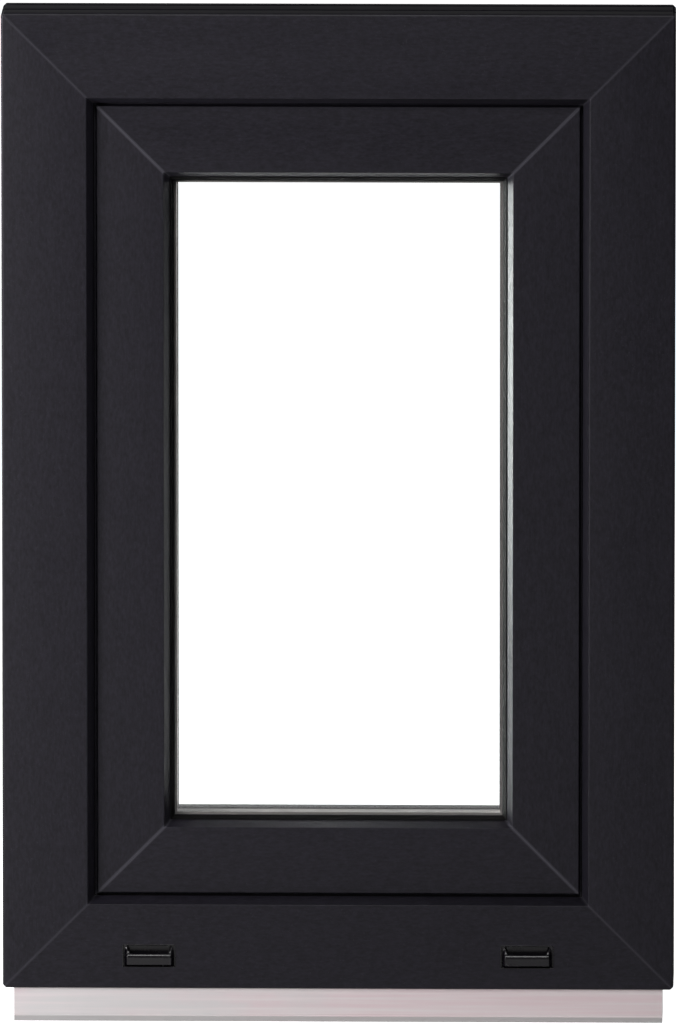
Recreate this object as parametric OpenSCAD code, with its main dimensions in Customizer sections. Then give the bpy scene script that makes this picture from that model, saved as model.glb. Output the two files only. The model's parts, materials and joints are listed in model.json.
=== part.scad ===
// Tilt-and-turn casement window: welded hollow profiles, sealed double
// glazing and a perimeter lock gear. The room lies towards +Y, +Z is up.
// Every ring of profiles shares one section drawing in [depth, inward]
// points: depth is counted from the weather face of the outer frame towards
// the room, inward from the frame's outer edge towards the glass.

/* [Frame] */
// Outer width of the frame
frame_w = 600; // [560:5:900]
// Outer height of the frame, without the base profile
frame_h = 880; // [820:5:1400]
// Height of the base profile under the frame
base_h = 30; // [26:1:40]
// Length of the base profile
base_w = 580; // [540:5:880]

/* [Hardware] */
// Height of the handle above the bottom of the frame
handle_up = 440; // [380:5:500]
// Length of the handle's grip
grip_len = 118; // [100:1:130]
// Distance from the lock-side corner to the bottom cam
bottom_cam_in = 150; // [145:1:155]

/* [Hidden] */
$fn = 48;

BOTTOM = 0;
LOCK_SIDE = 1;
TOP = 2;
HINGE_SIDE = 3;

// section depths, counted from the weather face of the frame
frame_d = 70;
leg_back = 15;
sash_step = 19;
sash_front = 12;
glass_front = 27;
pane_t = 4;
unit_t = 24;
lip_back = 73;
sash_back = 82;
groove_mid = 60;

// section distances from the frame's outer edge
face_in = 76;
leg_in = 82;
rebate_in = 54;
lip_in = 46;
sash_in = 66;
floor_in = 131;
sash_face_in = 144.5;
slope_in = 149.5;
glass_in = 136.5;
spacer_in = 155.5;
sight_in = 156.5;

wall = 2.8;
reach = 165;
corner_clip = 3;
steel_t = 1.5;
eps = 0.01;
fit = 0.05;

// turn and tilt axes meet in one point near the lower hinge-side corner
axis_in = 40;
axis_d = 76;
axis_r = 5.5;

// lock gear
gear_m = 1.25;
pinion_teeth = 18;
gear_r = gear_m * pinion_teeth / 2;
gear_pitch = PI * gear_m;
backlash = 0.25;
pressure = 20;
spindle_in = 84;
spindle_s = 7;
travel = gear_r * PI / 2;
rest_turn = 90;
rest_slide = -travel;
rod_w = 8.4;
plate_t = 2.8;
plate_w = 15.8;
rod_in = sash_in + 3.15;
rack_root_in = spindle_in - gear_r - 1.25 * gear_m;
cam_r = 4;
cam_neck_r = 3;
slot_w = 7;
slot_len = 2 * travel + 2 * cam_neck_r + 2.6;
cam_heights = [210, 670];
screw_r = 2;
head_r = 3.7;

x_lock = frame_w / 2 - spindle_in;
z_handle = base_h + handle_up;
z_mid = base_h + frame_h / 2;
x_turn = -frame_w / 2 + axis_in;
y_axis = axis_d - frame_d / 2;
z_tilt = base_h + axis_in;
bottom_cam_x = frame_w / 2 - bottom_cam_in;
stay_pin_x = 20;

// ---------- helpers ----------

// points on an arc about c, from angle a to angle b
function arc(c, r, a, b, n = 4) =
    [for (i = [0 : n]) c + r * [cos(a + (b - a) * i / n), sin(a + (b - a) * i / n)]];

function y_of(depth) = depth - frame_d / 2;

// one mitred bar of the ring; its children draw the section
module bar(side, clip = 0) {
    len = side % 2 == 0 ? frame_w : frame_h;
    half = side % 2 == 0 ? frame_h / 2 : frame_w / 2;
    translate([0, 0, z_mid]) rotate([0, -90 * side, 0]) translate([0, 0, -half])
        intersection() {
            translate([-len / 2, y_of(0), 0]) rotate([90, 0, 90])
                linear_extrude(len) children();
            translate([0, 150, 0]) rotate([90, 0, 0]) linear_extrude(300)
                polygon([
                    [-len / 2 + clip, 0], [len / 2 - clip, 0],
                    [len / 2 - clip / 2, clip / 2], [len / 2 - reach, reach],
                    [reach - len / 2, reach], [clip / 2 - len / 2, clip / 2]
                ]);
        }
}

// a closed ring of four joined bars
module ring() {
    for (side = [BOTTOM : HINGE_SIDE]) bar(side) children();
}

// straight bar of the ring without mitres, cut short at both ends
module short_bar(side, cut) {
    len = (side % 2 == 0 ? frame_w : frame_h) - 2 * cut;
    half = side % 2 == 0 ? frame_h / 2 : frame_w / 2;
    translate([0, 0, z_mid]) rotate([0, -90 * side, 0]) translate([-len / 2, y_of(0), -half])
        rotate([90, 0, 90]) linear_extrude(len) children();
}

// puts children in a side's own axes: X along the bar, Y depth, Z inward
module on_side(side, along = 0) {
    half = side % 2 == 0 ? frame_h / 2 : frame_w / 2;
    translate([0, 0, z_mid]) rotate([0, -90 * side, 0]) translate([along, y_of(0), -half])
        children();
}

// box from its lowest to its highest corner
module block(low, high) {
    translate(low) cube(high - low);
}

// round bar between two depths, along the Y axis
module y_rod(r, from, to) {
    translate([0, from, 0]) rotate([-90, 0, 0]) cylinder(r = r, h = to - from);
}

// round-ended slot along X, cut through a plate that lies flat
module slot(len, width, low, high) {
    for (s = [-1, 1]) translate([s * (len - width) / 2, 0, low])
        cylinder(d = width, h = high - low);
    block([-(len - width) / 2, -width / 2, low], [(len - width) / 2, width / 2, high]);
}

// countersunk screw pointing down, its head's top at the origin
module screw(len) {
    translate([0, 0, -len]) cylinder(r = screw_r, h = len - 1);
    translate([0, 0, -1.8]) cylinder(r1 = screw_r, r2 = head_r, h = 1.8);
}

module screw_hole(len) {
    translate([0, 0, -len - 0.5]) cylinder(r = screw_r + fit, h = len + 0.5);
    translate([0, 0, -1.8]) cylinder(r1 = screw_r + fit, r2 = head_r + fit, h = 1.8 + eps);
}

// ---------- sections, in [depth, inward] points ----------

// dovetail groove in the perimeter, for the base profile's tongues
function clip_groove(d) = [[d + 4, 0], [d + 5, 3], [d - 5, 3], [d - 4, 0]];
clip_depths = [56, 26];

module frame_section() {
    edge_r = 2.2;
    face_r = 1.2;
    difference() {
        polygon(concat(
            arc([edge_r, edge_r], edge_r, 270, 180),
            arc([face_r, face_in - 0.606 * face_r], face_r, 180, 118, 3),
            [[11, leg_in - 0.3], [12, leg_in], [13.4, leg_in], [leg_back, leg_in - 1.6]],
            [[leg_back, 77.5], [12.4, 78], [12.4, 73.5], [leg_back, 74]],
            [[leg_back, 52], [17, 50], [34, 50], [41, rebate_in]],
            arc([frame_d - 1, rebate_in - 1], 1, 90, 0, 3),
            arc([frame_d - edge_r, edge_r], edge_r, 0, -90),
            clip_groove(clip_depths[0]),
            clip_groove(clip_depths[1])
        ));
        polygon([[wall, wall], [wall, 72.6], [9.6, 72.6], [9.6, wall]]);
        polygon([[11, 5.8], [11, 47.2], [24, 47.2], [24, 5.8]]);
        polygon([[25.4, 5.8], [25.4, 47.2], [49.4, 47.2], [49.4, 5.8]]);
        polygon([[50.8, 5.8], [50.8, 51.2], [58.4, 51.2], [58.4, 5.8]]);
        polygon([[59.8, 5.8], [59.8, 51.2], [67.2, 51.2], [67.2, 5.8]]);
    }
}

module sash_section() {
    difference() {
        polygon(concat(
            [[sash_step, sash_in + 0.6], [sash_step, 83.6], [13, 84.6], [12.3, 84.9], [sash_front, 85.6]],
            [[sash_front, sash_face_in - 0.6], [12.4, sash_face_in], [21.6, slope_in - 0.2]],
            [[22.2, slope_in], [24.3, slope_in], [24.3, 145.5], [21.9, 146], [21.9, 141.5], [24.3, 142]],
            [[24.3, floor_in], [71, floor_in], [71, 126.5], [75, 126.5], [75, floor_in]],
            [[sash_back - 0.8, floor_in], [sash_back, floor_in - 0.8]],
            arc([sash_back - 2, lip_in + 2], 2, 0, -90),
            [[lip_back + 1, lip_in], [lip_back, lip_in + 1]],
            [[lip_back, 48.5], [75.5, 48.1], [75.5, 51.9], [lip_back, 51.5]],
            [[lip_back, sash_in], [68, sash_in], [68, 69], [66, 69], [66, 77]],
            [[54, 77], [54, 69], [52, 69], [52, sash_in], [sash_step + 0.6, sash_in]]
        ));
        polygon([[14.8, 87.4], [14.8, 142.2], [19, 144.4], [19, 87.4]]);
        polygon([[21.8, 68.8], [21.8, 86], [20.4, 87.4], [20.4, 128.2], [32, 128.2], [32, 68.8]]);
        polygon([[33.4, 68.8], [33.4, 128.2], [51.2, 128.2], [51.2, 68.8]]);
        polygon([[52.6, 79.8], [52.6, 128.2], [69.6, 128.2], [69.6, 79.8]]);
        polygon([[71, 68.8], [71, 123.7], [79.2, 123.7], [79.2, 49.5], [77.5, 49.5], [77.5, 68.8]]);
    }
}

module tube_section(low, high) {
    difference() {
        polygon([low, [high[0], low[1]], high, [low[0], high[1]]]);
        polygon([
            low + [steel_t, steel_t], [high[0] - steel_t, low[1] + steel_t],
            high - [steel_t, steel_t], [low[0] + steel_t, high[1] - steel_t]
        ]);
    }
}

// channel steel, open towards the frame's outer edge
module channel_section(low, high) {
    polygon([
        low, [low[0] + steel_t, low[1]], [low[0] + steel_t, high[1] - steel_t],
        [high[0] - steel_t, high[1] - steel_t], [high[0] - steel_t, low[1]],
        [high[0], low[1]], high, [low[0], high[1]]
    ]);
}

module stop_seal_section() {
    polygon([
        [12.5, 73.9], [12.5, 77.7], [leg_back, 77.2], [leg_back, 81], [16.2, 82.6],
        [18.9, 80.4], [18.9, 72], [17.6, 73.4], [16.6, 76.5], [leg_back, 74.2]
    ]);
}

module lip_seal_section() {
    polygon([
        [75.4, 48.3], [75.4, 51.7], [lip_back, 51.3], [lip_back, 52.6],
        [71, 52.8], [70.1, 51.4], [70.1, 48], [71, 47], [lip_back, 47.4], [lip_back, 48.7]
    ]);
}

module outer_glazing_seal_section() {
    polygon([
        [22, 141.7], [22, 145.8], [24.3, 145.3], [24.3, 149.7], [22.3, 149.7],
        [22.5, 150.5], [25.8, 153.5], [glass_front, 153.6], [glass_front, 139], [24.3, 140],
        [24.3, 142.2]
    ]);
}

module inner_glazing_seal_section() {
    polygon([[51, 147.5], [54, 147], [54, 156.3], [53, sight_in], [51, sight_in]]);
}

module bead_section() {
    round_r = 18.5;
    hollow_r = 15.6;
    c = [62, 137.5];
    difference() {
        polygon(concat(
            [[54, floor_in], [54, 155], [55, 156]],
            arc(c, round_r, 90, 0, 10),
            [[80.5, floor_in], [74.8, floor_in], [74.8, 127.4], [73.6, 126.8], [71.2, 127.8]],
            [[71.2, floor_in]]
        ));
        polygon(concat(
            [[56.6, 133.4], [56.6, 153.1]],
            arc(c, hollow_r, 90, 0, 8),
            [[77.6, 133.4]]
        ));
    }
}

module base_section() {
    tongue = 2.8;
    difference() {
        polygon(concat(
            [[1.5, 0], [1.5, 4.8], [3, 5.6], [3, base_h]],
            [for (d = [26, 56]) for (p = [[-3.8, 0], [-4.7, tongue], [4.7, tongue], [3.8, 0]])
                [d + p[0], base_h + p[1]]],
            [[64, base_h], [64, 0]]
        ));
        for (cell = [[5.6, 22.2], [23.6, 42.3], [43.7, 61.4]])
            polygon([[cell[0], 2.6], [cell[0], base_h - 2.6], [cell[1], base_h - 2.6], [cell[1], 2.6]]);
    }
}

// ---------- frame ----------

cap_x = 169;
cap_up = 29.5;
fixing_up = [150, 730];
fixing_d = 44.2;
fixing_r = 3.2;
striker_screw_gap = 21;
// screws of the two hinge brackets, from the frame's edges
bracket_screws = [[19, 18], [30, 18]];

module frame_head() {
    color("#2b2b2f") difference() {
        bar(TOP, corner_clip) frame_section();
        bracket_screw_holes(TOP);
    }
}

module frame_sill() {
    color("#26262a") difference() {
        bar(BOTTOM, corner_clip) frame_section();
        for (s = [-1, 1]) translate([s * cap_x, y_of(0), base_h]) {
            block([-14, -1, 27], [14, 12, 32]);
            block([-14, 17.6, 46], [14, 22.6, 51]);
        }
        bracket_screw_holes(BOTTOM);
        on_side(BOTTOM, bottom_cam_x) striker_screw_holes();
    }
}

module frame_jamb_hinge_side() {
    color("#2f2f34") difference() {
        bar(HINGE_SIDE, corner_clip) frame_section();
        fixing_holes();
        bracket_screw_holes(TOP);
        bracket_screw_holes(BOTTOM);
    }
}

module frame_jamb_lock_side() {
    color("#28282c") difference() {
        bar(LOCK_SIDE, corner_clip) frame_section();
        fixing_holes();
        for (up = cam_heights) on_side(LOCK_SIDE, up - frame_h / 2) striker_screw_holes();
    }
}

// holes through both jambs for the screws that hold the window in the wall
module fixing_holes() {
    for (up = fixing_up) translate([-frame_w / 2 - 1, y_of(fixing_d), base_h + up])
        rotate([0, 90, 0]) cylinder(r = fixing_r, h = frame_w + 2);
}

module frame_rail_steels() {
    color("silver") for (side = [BOTTOM, TOP])
        short_bar(side, 60) channel_section([25.8, 6.2], [49, 46.8]);
}

module frame_jamb_steels() {
    color("silver") difference() {
        for (side = [LOCK_SIDE, HINGE_SIDE])
            short_bar(side, 60) channel_section([25.8, 6.2], [49, 46.8]);
        fixing_holes();
    }
}

module frame_stop_seal() {
    color("#0c0c0e") ring() stop_seal_section();
}

module base_profile() {
    color("#c6bcbc") translate([-base_w / 2, y_of(0), 0]) rotate([90, 0, 90])
        linear_extrude(base_w) base_section();
}

// scoop-shaped hood over a drain slot, with two legs that clip into the slot
module drain_cap() {
    half_w = 24;
    scoop_w = 21.5;
    color("#1c1c20") translate([0, y_of(0), base_h + cap_up]) {
        block([-half_w, -1, -10.5], [half_w, 0, 10.5]);
        difference() {
            translate([-scoop_w, 0, 0]) rotate([90, 0, 90]) linear_extrude(2 * scoop_w)
                polygon([[-1, -9.8], [-3.4, -8.8], [-4.4, 0.9], [-3.4, 1.3], [-1, 5.5]]);
            translate([-scoop_w + 1.2, 0, 0]) rotate([90, 0, 90]) linear_extrude(2 * scoop_w - 2.4)
                polygon([[-1, -7.8], [-2.6, -7.4], [-3.5, 1.6], [-3.5, 6], [-1, 6]]);
        }
        for (s = [-1, 1]) block([s * 11.5 - 1.5, 0, -2], [s * 11.5 + 1.5, 2.4, 2]);
    }
}

module drain_cap_left() { translate([-cap_x, 0, 0]) drain_cap(); }
module drain_cap_right() { translate([cap_x, 0, 0]) drain_cap(); }

// ---------- hinge-side brackets on the frame ----------

// moves children to the lower or the upper hinge-side corner; Z counts
// inward from the frame's bottom or top edge, X from the hinge-side edge
module hinge_corner(side) {
    flip = side == TOP ? 1 : 0;
    translate([-frame_w / 2, y_of(0), base_h + flip * frame_h]) mirror([0, 0, flip]) children();
}

module bracket_plate() {
    block([13, frame_d, 6], [44.5, frame_d + 3, 30]);
}

module bracket_screw_places() {
    for (p = bracket_screws) translate([p[0], frame_d + 3, p[1]]) rotate([-90, 0, 0]) children();
}

module bracket_screw_holes(side) {
    hinge_corner(side) bracket_screw_places() screw_hole(14);
}

module pivot_rest() {
    color("silver") hinge_corner(BOTTOM) {
        difference() {
            bracket_plate();
            bracket_screw_places() screw_hole(14);
        }
        difference() {
            union() {
                translate([axis_in, axis_d, 10]) cylinder(r = axis_r, h = 22.5);
                block([axis_in - axis_r, frame_d + 3, 10], [axis_in + 4.5, axis_d, 32.5]);
            }
            block([axis_in - 10, frame_d - 5, 5], [axis_in + 10, frame_d + 3, 35]);
        }
        translate([axis_in, axis_d, 32.5]) cylinder(r = 3.5, h = 11);
    }
}

// plastic cover clipped over a bracket, open towards the frame and the axis
module bracket_cover() {
    difference() {
        block([10.5, frame_d, 3.5], [47.6, 83.6, 31.3]);
        block([12.2, frame_d - 1, 5.2], [45.9, 82, 31.4]);
    }
}

module pivot_rest_cover() {
    color("#c9c9cc") hinge_corner(BOTTOM) bracket_cover();
}

module stay_bearing() {
    color("silver") hinge_corner(TOP) difference() {
        union() {
            bracket_plate();
            translate([axis_in, axis_d, 10]) cylinder(r = axis_r, h = 21);
            block([axis_in - axis_r, frame_d + 1, 10], [axis_in + 4.5, axis_d, 30]);
        }
        block([axis_in - 10, frame_d - 5, 5], [axis_in + 10, frame_d, 35]);
        translate([axis_in, axis_d, 5]) cylinder(r = 3 + fit, h = 30);
        translate([axis_in, axis_d, 5]) cylinder(r = 4.5, h = 5);
        bracket_screw_places() screw_hole(14);
    }
}

module stay_bearing_pin() {
    color("gray") hinge_corner(TOP) {
        translate([axis_in, axis_d, 9]) cylinder(r = 3, h = 37);
        translate([axis_in, axis_d, 7]) cylinder(r = 4.4, h = 2.8);
    }
}

module stay_bearing_cover() {
    color("#c9c9cc") hinge_corner(TOP) bracket_cover();
}

module frame_hinge_screws() {
    color("gray") for (side = [BOTTOM, TOP]) hinge_corner(side) bracket_screw_places() screw(14);
}

// ---------- strikers ----------

module striker_screw_places() {
    for (s = [-1, 1]) translate([s * striker_screw_gap, groove_mid, rebate_in + 2.5])
        children();
}

module striker_screw_holes() {
    striker_screw_places() screw_hole(12);
}

// keeper plate; each hook is [middle along the rail, play towards the room]
module striker(hooks) {
    difference() {
        union() {
            block([-27, 50.5, rebate_in], [27, 68.8, rebate_in + 2.5]);
            for (h = hooks) block(
                [h[0] - 6, groove_mid + cam_r + h[1], rebate_in],
                [h[0] + 8, 69.6, rebate_in + 9]);
        }
        striker_screw_places() screw_hole(12);
    }
}

module lock_striker(up) {
    color("silver") on_side(LOCK_SIDE, up - frame_h / 2) striker([[travel, 0.3]]);
}

module striker_upper() { lock_striker(cam_heights[1]); }
module striker_lower() { lock_striker(cam_heights[0]); }

module tilt_striker() {
    color("silver") on_side(BOTTOM, bottom_cam_x) striker([[travel, 3.6], [-travel - 2, 3.6]]);
}

module striker_screws() {
    color("gray") {
        for (up = cam_heights) on_side(LOCK_SIDE, up - frame_h / 2)
            striker_screw_places() screw(12);
        on_side(BOTTOM, bottom_cam_x) striker_screw_places() screw(12);
    }
}

// ---------- hinge parts that move ----------

pivot_half = 5.2;
tilt_pin_r = 2.5;

// swivel block: turns on the pivot rest's pin and carries the tilt pin
module corner_pivot() {
    color("gray") hinge_corner(BOTTOM) {
        difference() {
            translate([axis_in, axis_d, 33]) cylinder(r = pivot_half, h = 14);
            translate([axis_in, axis_d, 32]) cylinder(r = 3.5 + fit, h = 12);
        }
        difference() {
            translate([axis_in, axis_d, axis_in]) rotate([0, 90, 0]) cylinder(r = tilt_pin_r, h = 18.5);
            translate([axis_in, axis_d, 32]) cylinder(r = 4.5, h = 20);
        }
    }
}

// strap on the sash's lower corner, with the eye that the tilt pin runs in
module corner_hinge() {
    eye_from = 46.2;
    color("silver") hinge_corner(BOTTOM) difference() {
        union() {
            translate([eye_from, axis_d, axis_in]) rotate([0, 90, 0]) cylinder(r = 5, h = 12);
            block([eye_from, 70.6, 37], [eye_from + 12, 72.8, 66]);
            block([eye_from, 70.6, 54], [110, 72.8, 66]);
            block([70, 48, 63.4], [110, 72.8, 66]);
        }
        translate([eye_from - 1, axis_d, axis_in]) rotate([0, 90, 0])
            cylinder(r = tilt_pin_r + fit, h = 15);
    }
}

// flat arm that lets the top of the sash lean inwards
module stay_arm() {
    far = frame_w / 2 + stay_pin_x;
    color("silver") hinge_corner(TOP) {
        difference() {
            union() {
                translate([axis_in, axis_d, 31.6]) cylinder(r = axis_r, h = 14);
                block([axis_in, 70.6, 33], [axis_in + 30, 72.8, 63]);
            }
            translate([axis_in, axis_d, 30]) cylinder(r = 3 + fit, h = 20);
        }
        translate([0, 0, 60]) linear_extrude(3) polygon([
            [57, 71], [57, 64], [75, 57.5], [far - 6, 54.5], [far + 5, 54.5],
            [far + 5, 65.5], [far - 6, 65.5], [95, 72.8], [69, 72.8], [69, 71]
        ]);
        translate([far, groove_mid, 62]) cylinder(r = 3, h = 12);
    }
}

// ---------- sash ----------

module sash_top_rail() {
    color("#2b2b2f") difference() {
        bar(TOP) sash_section();
        faceplate_screw_holes();
    }
}

module sash_bottom_rail() {
    color("#26262a") difference() {
        bar(BOTTOM) sash_section();
        faceplate_screw_holes();
    }
}

module sash_hinge_stile() {
    color("#2f2f34") bar(HINGE_SIDE) sash_section();
}

// the lock stile is milled out for the gearbox, the spindle and its screws
module sash_lock_stile() {
    color("#28282c") difference() {
        bar(LOCK_SIDE) sash_section();
        on_side(LOCK_SIDE, handle_up - frame_h / 2) {
            block([-32.5, 53.9, 68], [32.5, 66.1, 99.2]);
            translate([0, 0, spindle_in]) y_rod(7, 60, sash_back + 1);
            for (s = [-1, 1]) translate([s * rosette_gap, 0, spindle_in])
                y_rod(rosette_screw_r + fit, 60, sash_back + 1);
        }
        faceplate_screw_holes();
    }
}

module sash_rail_steels() {
    color("silver") for (side = [BOTTOM, TOP])
        short_bar(side, 140) tube_section([33.8, 69.2], [50.8, 127.8]);
}

module sash_stile_steels() {
    color("silver") for (side = [LOCK_SIDE, HINGE_SIDE])
        short_bar(side, 140) tube_section([33.8, 69.2], [50.8, 127.8]);
}

// the seal stops short of the straps that pass behind the sash's lip
module sash_lip_seal() {
    color("#0c0c0e") difference() {
        ring() lip_seal_section();
        hinge_corner(BOTTOM) block([40, 60, 40], [111, 80, 67]);
        hinge_corner(TOP) block([40, 60, 40], [72, 80, 64.5]);
    }
}

// ---------- glazing ----------

module pane(depth) {
    translate([0, y_of(depth) + pane_t / 2, z_mid])
        cube([frame_w - 2 * glass_in, pane_t, frame_h - 2 * glass_in], center = true);
}

module pane_outer() { color("lightblue", 0.35) pane(glass_front); }
module pane_inner() { color("lightblue", 0.35) pane(glass_front + unit_t - pane_t); }

module spacer_bar() {
    low = glass_front + pane_t;
    high = glass_front + unit_t - pane_t;
    color("#c8c4bc") ring() difference() {
        polygon([[low, 148], [low, spacer_in], [high, spacer_in], [high, 148]]);
        polygon([[low + 1, 149], [low + 1, spacer_in - 1], [high - 1, spacer_in - 1], [high - 1, 149]]);
    }
}

module edge_seal() {
    low = glass_front + pane_t;
    high = glass_front + unit_t - pane_t;
    color("#2a2a28") ring()
        polygon([[low, glass_in], [low, 148], [high, 148], [high, glass_in]]);
}

// packers that carry the glass in the sash, two on each side
module glazing_blocks() {
    color("royalblue") for (side = [BOTTOM : HINGE_SIDE]) {
        len = side % 2 == 0 ? frame_w : frame_h;
        for (s = [-1, 1]) on_side(side, s * (len / 2 - glass_in - 65))
            block([-40, 26, floor_in], [40, 52, glass_in]);
    }
}

module glazing_seal_outer() { color("#0c0c0e") ring() outer_glazing_seal_section(); }
module glazing_seal_inner() { color("#0c0c0e") ring() inner_glazing_seal_section(); }
module bead_top() { color("#2b2b2f") bar(TOP) bead_section(); }
module bead_bottom() { color("#26262a") bar(BOTTOM) bead_section(); }
module bead_hinge_side() { color("#2f2f34") bar(HINGE_SIDE) bead_section(); }
module bead_lock_side() { color("#28282c") bar(LOCK_SIDE) bead_section(); }

// ---------- lock gear fixed to the sash ----------

corner_up = 112;
top_leg = 180;
bottom_leg = 165;
rosette_gap = 21.5;
rosette_screw_r = 2.5;
upper_end = frame_h / 2 - sash_in;

// strip that lies flush in the hardware groove, from one place to another
module strip(from, to) {
    block([from, groove_mid - plate_w / 2, sash_in], [to, groove_mid + plate_w / 2, sash_in + plate_t]);
}

// [side, place along it] of every faceplate screw
faceplate_screw_at = [
    [LOCK_SIDE, -frame_h / 2 + 130], [LOCK_SIDE, -frame_h / 2 + 265],
    [LOCK_SIDE, frame_h / 2 - 260], [LOCK_SIDE, frame_h / 2 - 130],
    [TOP, -frame_w / 2 + 175], [TOP, frame_w / 2 - 110],
    [BOTTOM, frame_w / 2 - 205]
];

module faceplate_screw_places() {
    for (p = faceplate_screw_at) on_side(p[0], p[1]) translate([0, groove_mid, sash_in])
        mirror([0, 0, 1]) children();
}

module faceplate_screw_holes() {
    faceplate_screw_places() screw_hole(18);
}

module faceplate_screws() {
    color("gray") faceplate_screw_places() screw(18);
}

module faceplate_lock() {
    color("silver") difference() {
        on_side(LOCK_SIDE) difference() {
            strip(-upper_end + corner_up + 0.5, upper_end - corner_up - 0.5);
            for (up = cam_heights) translate([up - frame_h / 2, groove_mid, 0])
                slot(slot_len, slot_w, sash_in - 1, sash_in + 4);
        }
        faceplate_screw_holes();
    }
}

// L-shaped faceplate round the upper lock-side corner
module corner_drive_upper() {
    color("silver") difference() {
        union() {
            on_side(LOCK_SIDE) strip(upper_end - corner_up, upper_end);
            on_side(TOP) strip(-(frame_w / 2 - sash_in), -(frame_w / 2 - sash_in) + top_leg);
        }
        faceplate_screw_holes();
    }
}

// L-shaped faceplate round the lower lock-side corner, slotted for its cam
module corner_drive_lower() {
    color("silver") difference() {
        union() {
            on_side(LOCK_SIDE) strip(-upper_end, -upper_end + corner_up);
            on_side(BOTTOM) difference() {
                strip(frame_w / 2 - sash_in - bottom_leg, frame_w / 2 - sash_in);
                translate([bottom_cam_x, groove_mid, 0])
                    slot(slot_len, slot_w, sash_in - 1, sash_in + 4);
            }
        }
        faceplate_screw_holes();
    }
}

// slotted plate on the top rail, in which the stay arm's stud slides
module stay_guide() {
    color("silver") difference() {
        on_side(TOP) difference() {
            strip(-(frame_w / 2 - sash_in) + top_leg + 0.5, frame_w / 2 - sash_in - 45);
            translate([-stay_pin_x + 5.5, groove_mid, 0]) slot(24, 8.8, sash_in - 1, sash_in + 4);
        }
        faceplate_screw_holes();
    }
}

// housing round the pinion and the rack, let into the lock stile
module gearbox_case() {
    hub_r = 6;
    color("gray") on_side(LOCK_SIDE, handle_up - frame_h / 2) difference() {
        block([-32, 54.1, 69.1], [32, 65.9, 98.8]);
        block([-33, 55.5, 69], [33, 64.5, 74.8]);
        translate([0, 0, spindle_in]) y_rod(13, 55.5, 64.5);
        translate([0, 0, spindle_in]) y_rod(hub_r + fit, 50, 70);
        for (s = [-1, 1]) translate([s * rosette_gap, 0, spindle_in])
            y_rod(rosette_screw_r + fit, 50, 70);
    }
}

module handle_rosette() {
    color("#c9c9cc") translate([x_lock, y_of(0), z_handle]) difference() {
        union() {
            block([-14.5, sash_back, -32], [14.5, 90, 32]);
            y_rod(14.5, sash_back, 91.4);
        }
        y_rod(10.1, sash_back - 1, 95);
        for (s = [-1, 1]) translate([0, 0, s * rosette_gap]) {
            y_rod(rosette_screw_r + fit, sash_back - 1, 95);
            y_rod(5, 87.5, 95);
        }
    }
}

module rosette_screws() {
    color("gray") translate([x_lock, y_of(0), z_handle]) for (s = [-1, 1])
        translate([0, 0, s * rosette_gap]) {
            y_rod(rosette_screw_r, 60.5, 87.5);
            y_rod(4.6, 87.5, 89.6);
        }
}

// ---------- handle, spindle and pinion ----------

// lever handle, pointing straight up: the tilt place, a quarter turn from the level one
module handle_lever() {
    grip_in = 119;
    grip_out = 131;
    color("#c9c9cc") translate([x_lock, y_of(0), z_handle]) rotate([0, rest_turn, 0]) difference() {
        union() {
            y_rod(10, 82.4, 100);
            y_rod(9.2, 100, grip_out);
            translate([-grip_len, grip_in, 0]) rotate([90, 0, 90]) linear_extrude(grip_len)
                polygon(concat(
                    arc([4, 6], 4, 180, 90), arc([8, 6], 4, 90, 0),
                    arc([8, -6], 4, 0, -90), arc([4, -6], 4, 270, 180)));
            translate([-grip_len, 0, 0]) y_rod(10, grip_in, grip_out);
        }
        block([-spindle_s / 2 - fit, 82, -spindle_s / 2 - fit], [spindle_s / 2 + fit, 112, spindle_s / 2 + fit]);
    }
}

module spindle() {
    color("gray") translate([x_lock, y_of(0), z_handle])
        block([-spindle_s / 2, 54.4, -spindle_s / 2], [spindle_s / 2, 111.5, spindle_s / 2]);
}

// angle by which an involute of base radius rb has turned away at radius r
function inv_at(r, rb) = let (a = acos(rb / r)) tan(a) * 180 / PI - a;

// outline of the pinion: involute flanks on a radial foot, gap towards +X
function pinion_points() = let (
        rb = gear_r * cos(pressure), tip_r = gear_r + gear_m,
        root_r = gear_r - 1.25 * gear_m, step = 360 / pinion_teeth,
        half_pitch = step / 4 - (backlash / 4) / gear_r * 180 / PI + inv_at(gear_r, rb),
        radii = [for (i = [0 : 6]) rb + (tip_r - rb) * i / 6])
    [for (k = [0 : pinion_teeth - 1])
        let (mid = (k + 0.5) * step)
        each concat(
            [root_r * [cos(mid - half_pitch), sin(mid - half_pitch)]],
            [for (r = radii) let (a = mid - half_pitch + inv_at(r, rb)) r * [cos(a), sin(a)]],
            [for (i = [6 : -1 : 0]) let (r = radii[i], a = mid + half_pitch - inv_at(r, rb))
                r * [cos(a), sin(a)]],
            [root_r * [cos(mid + half_pitch), sin(mid + half_pitch)]]
        )];

module pinion() {
    color("gray") translate([x_lock, y_of(0), z_handle]) rotate([0, rest_turn, 0]) difference() {
        union() {
            translate([0, 64.2, 0]) rotate([90, 0, 0]) linear_extrude(8.4) polygon(pinion_points());
            y_rod(6, 54.2, 65.8);
        }
        block([-spindle_s / 2 - fit, 50, -spindle_s / 2 - fit], [spindle_s / 2 + fit, 70, spindle_s / 2 + fit]);
    }
}

// ---------- sliding rods and their cams ----------

// in the tilt place at rest: every rod and cam stands one travel short of its middle place

// flat rod in the groove, from one place along the side to another
module rod(from, to) {
    block([from, groove_mid - rod_w / 2, rod_in], [to, groove_mid + rod_w / 2, rack_root_in]);
}

// mushroom cam that stands out of the faceplate
module cam() {
    translate([0, groove_mid, 57.4]) cylinder(r = cam_r, h = 7);
    translate([0, groove_mid, 64.4]) cylinder(r = cam_neck_r, h = rod_in - 64.4);
}

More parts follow.
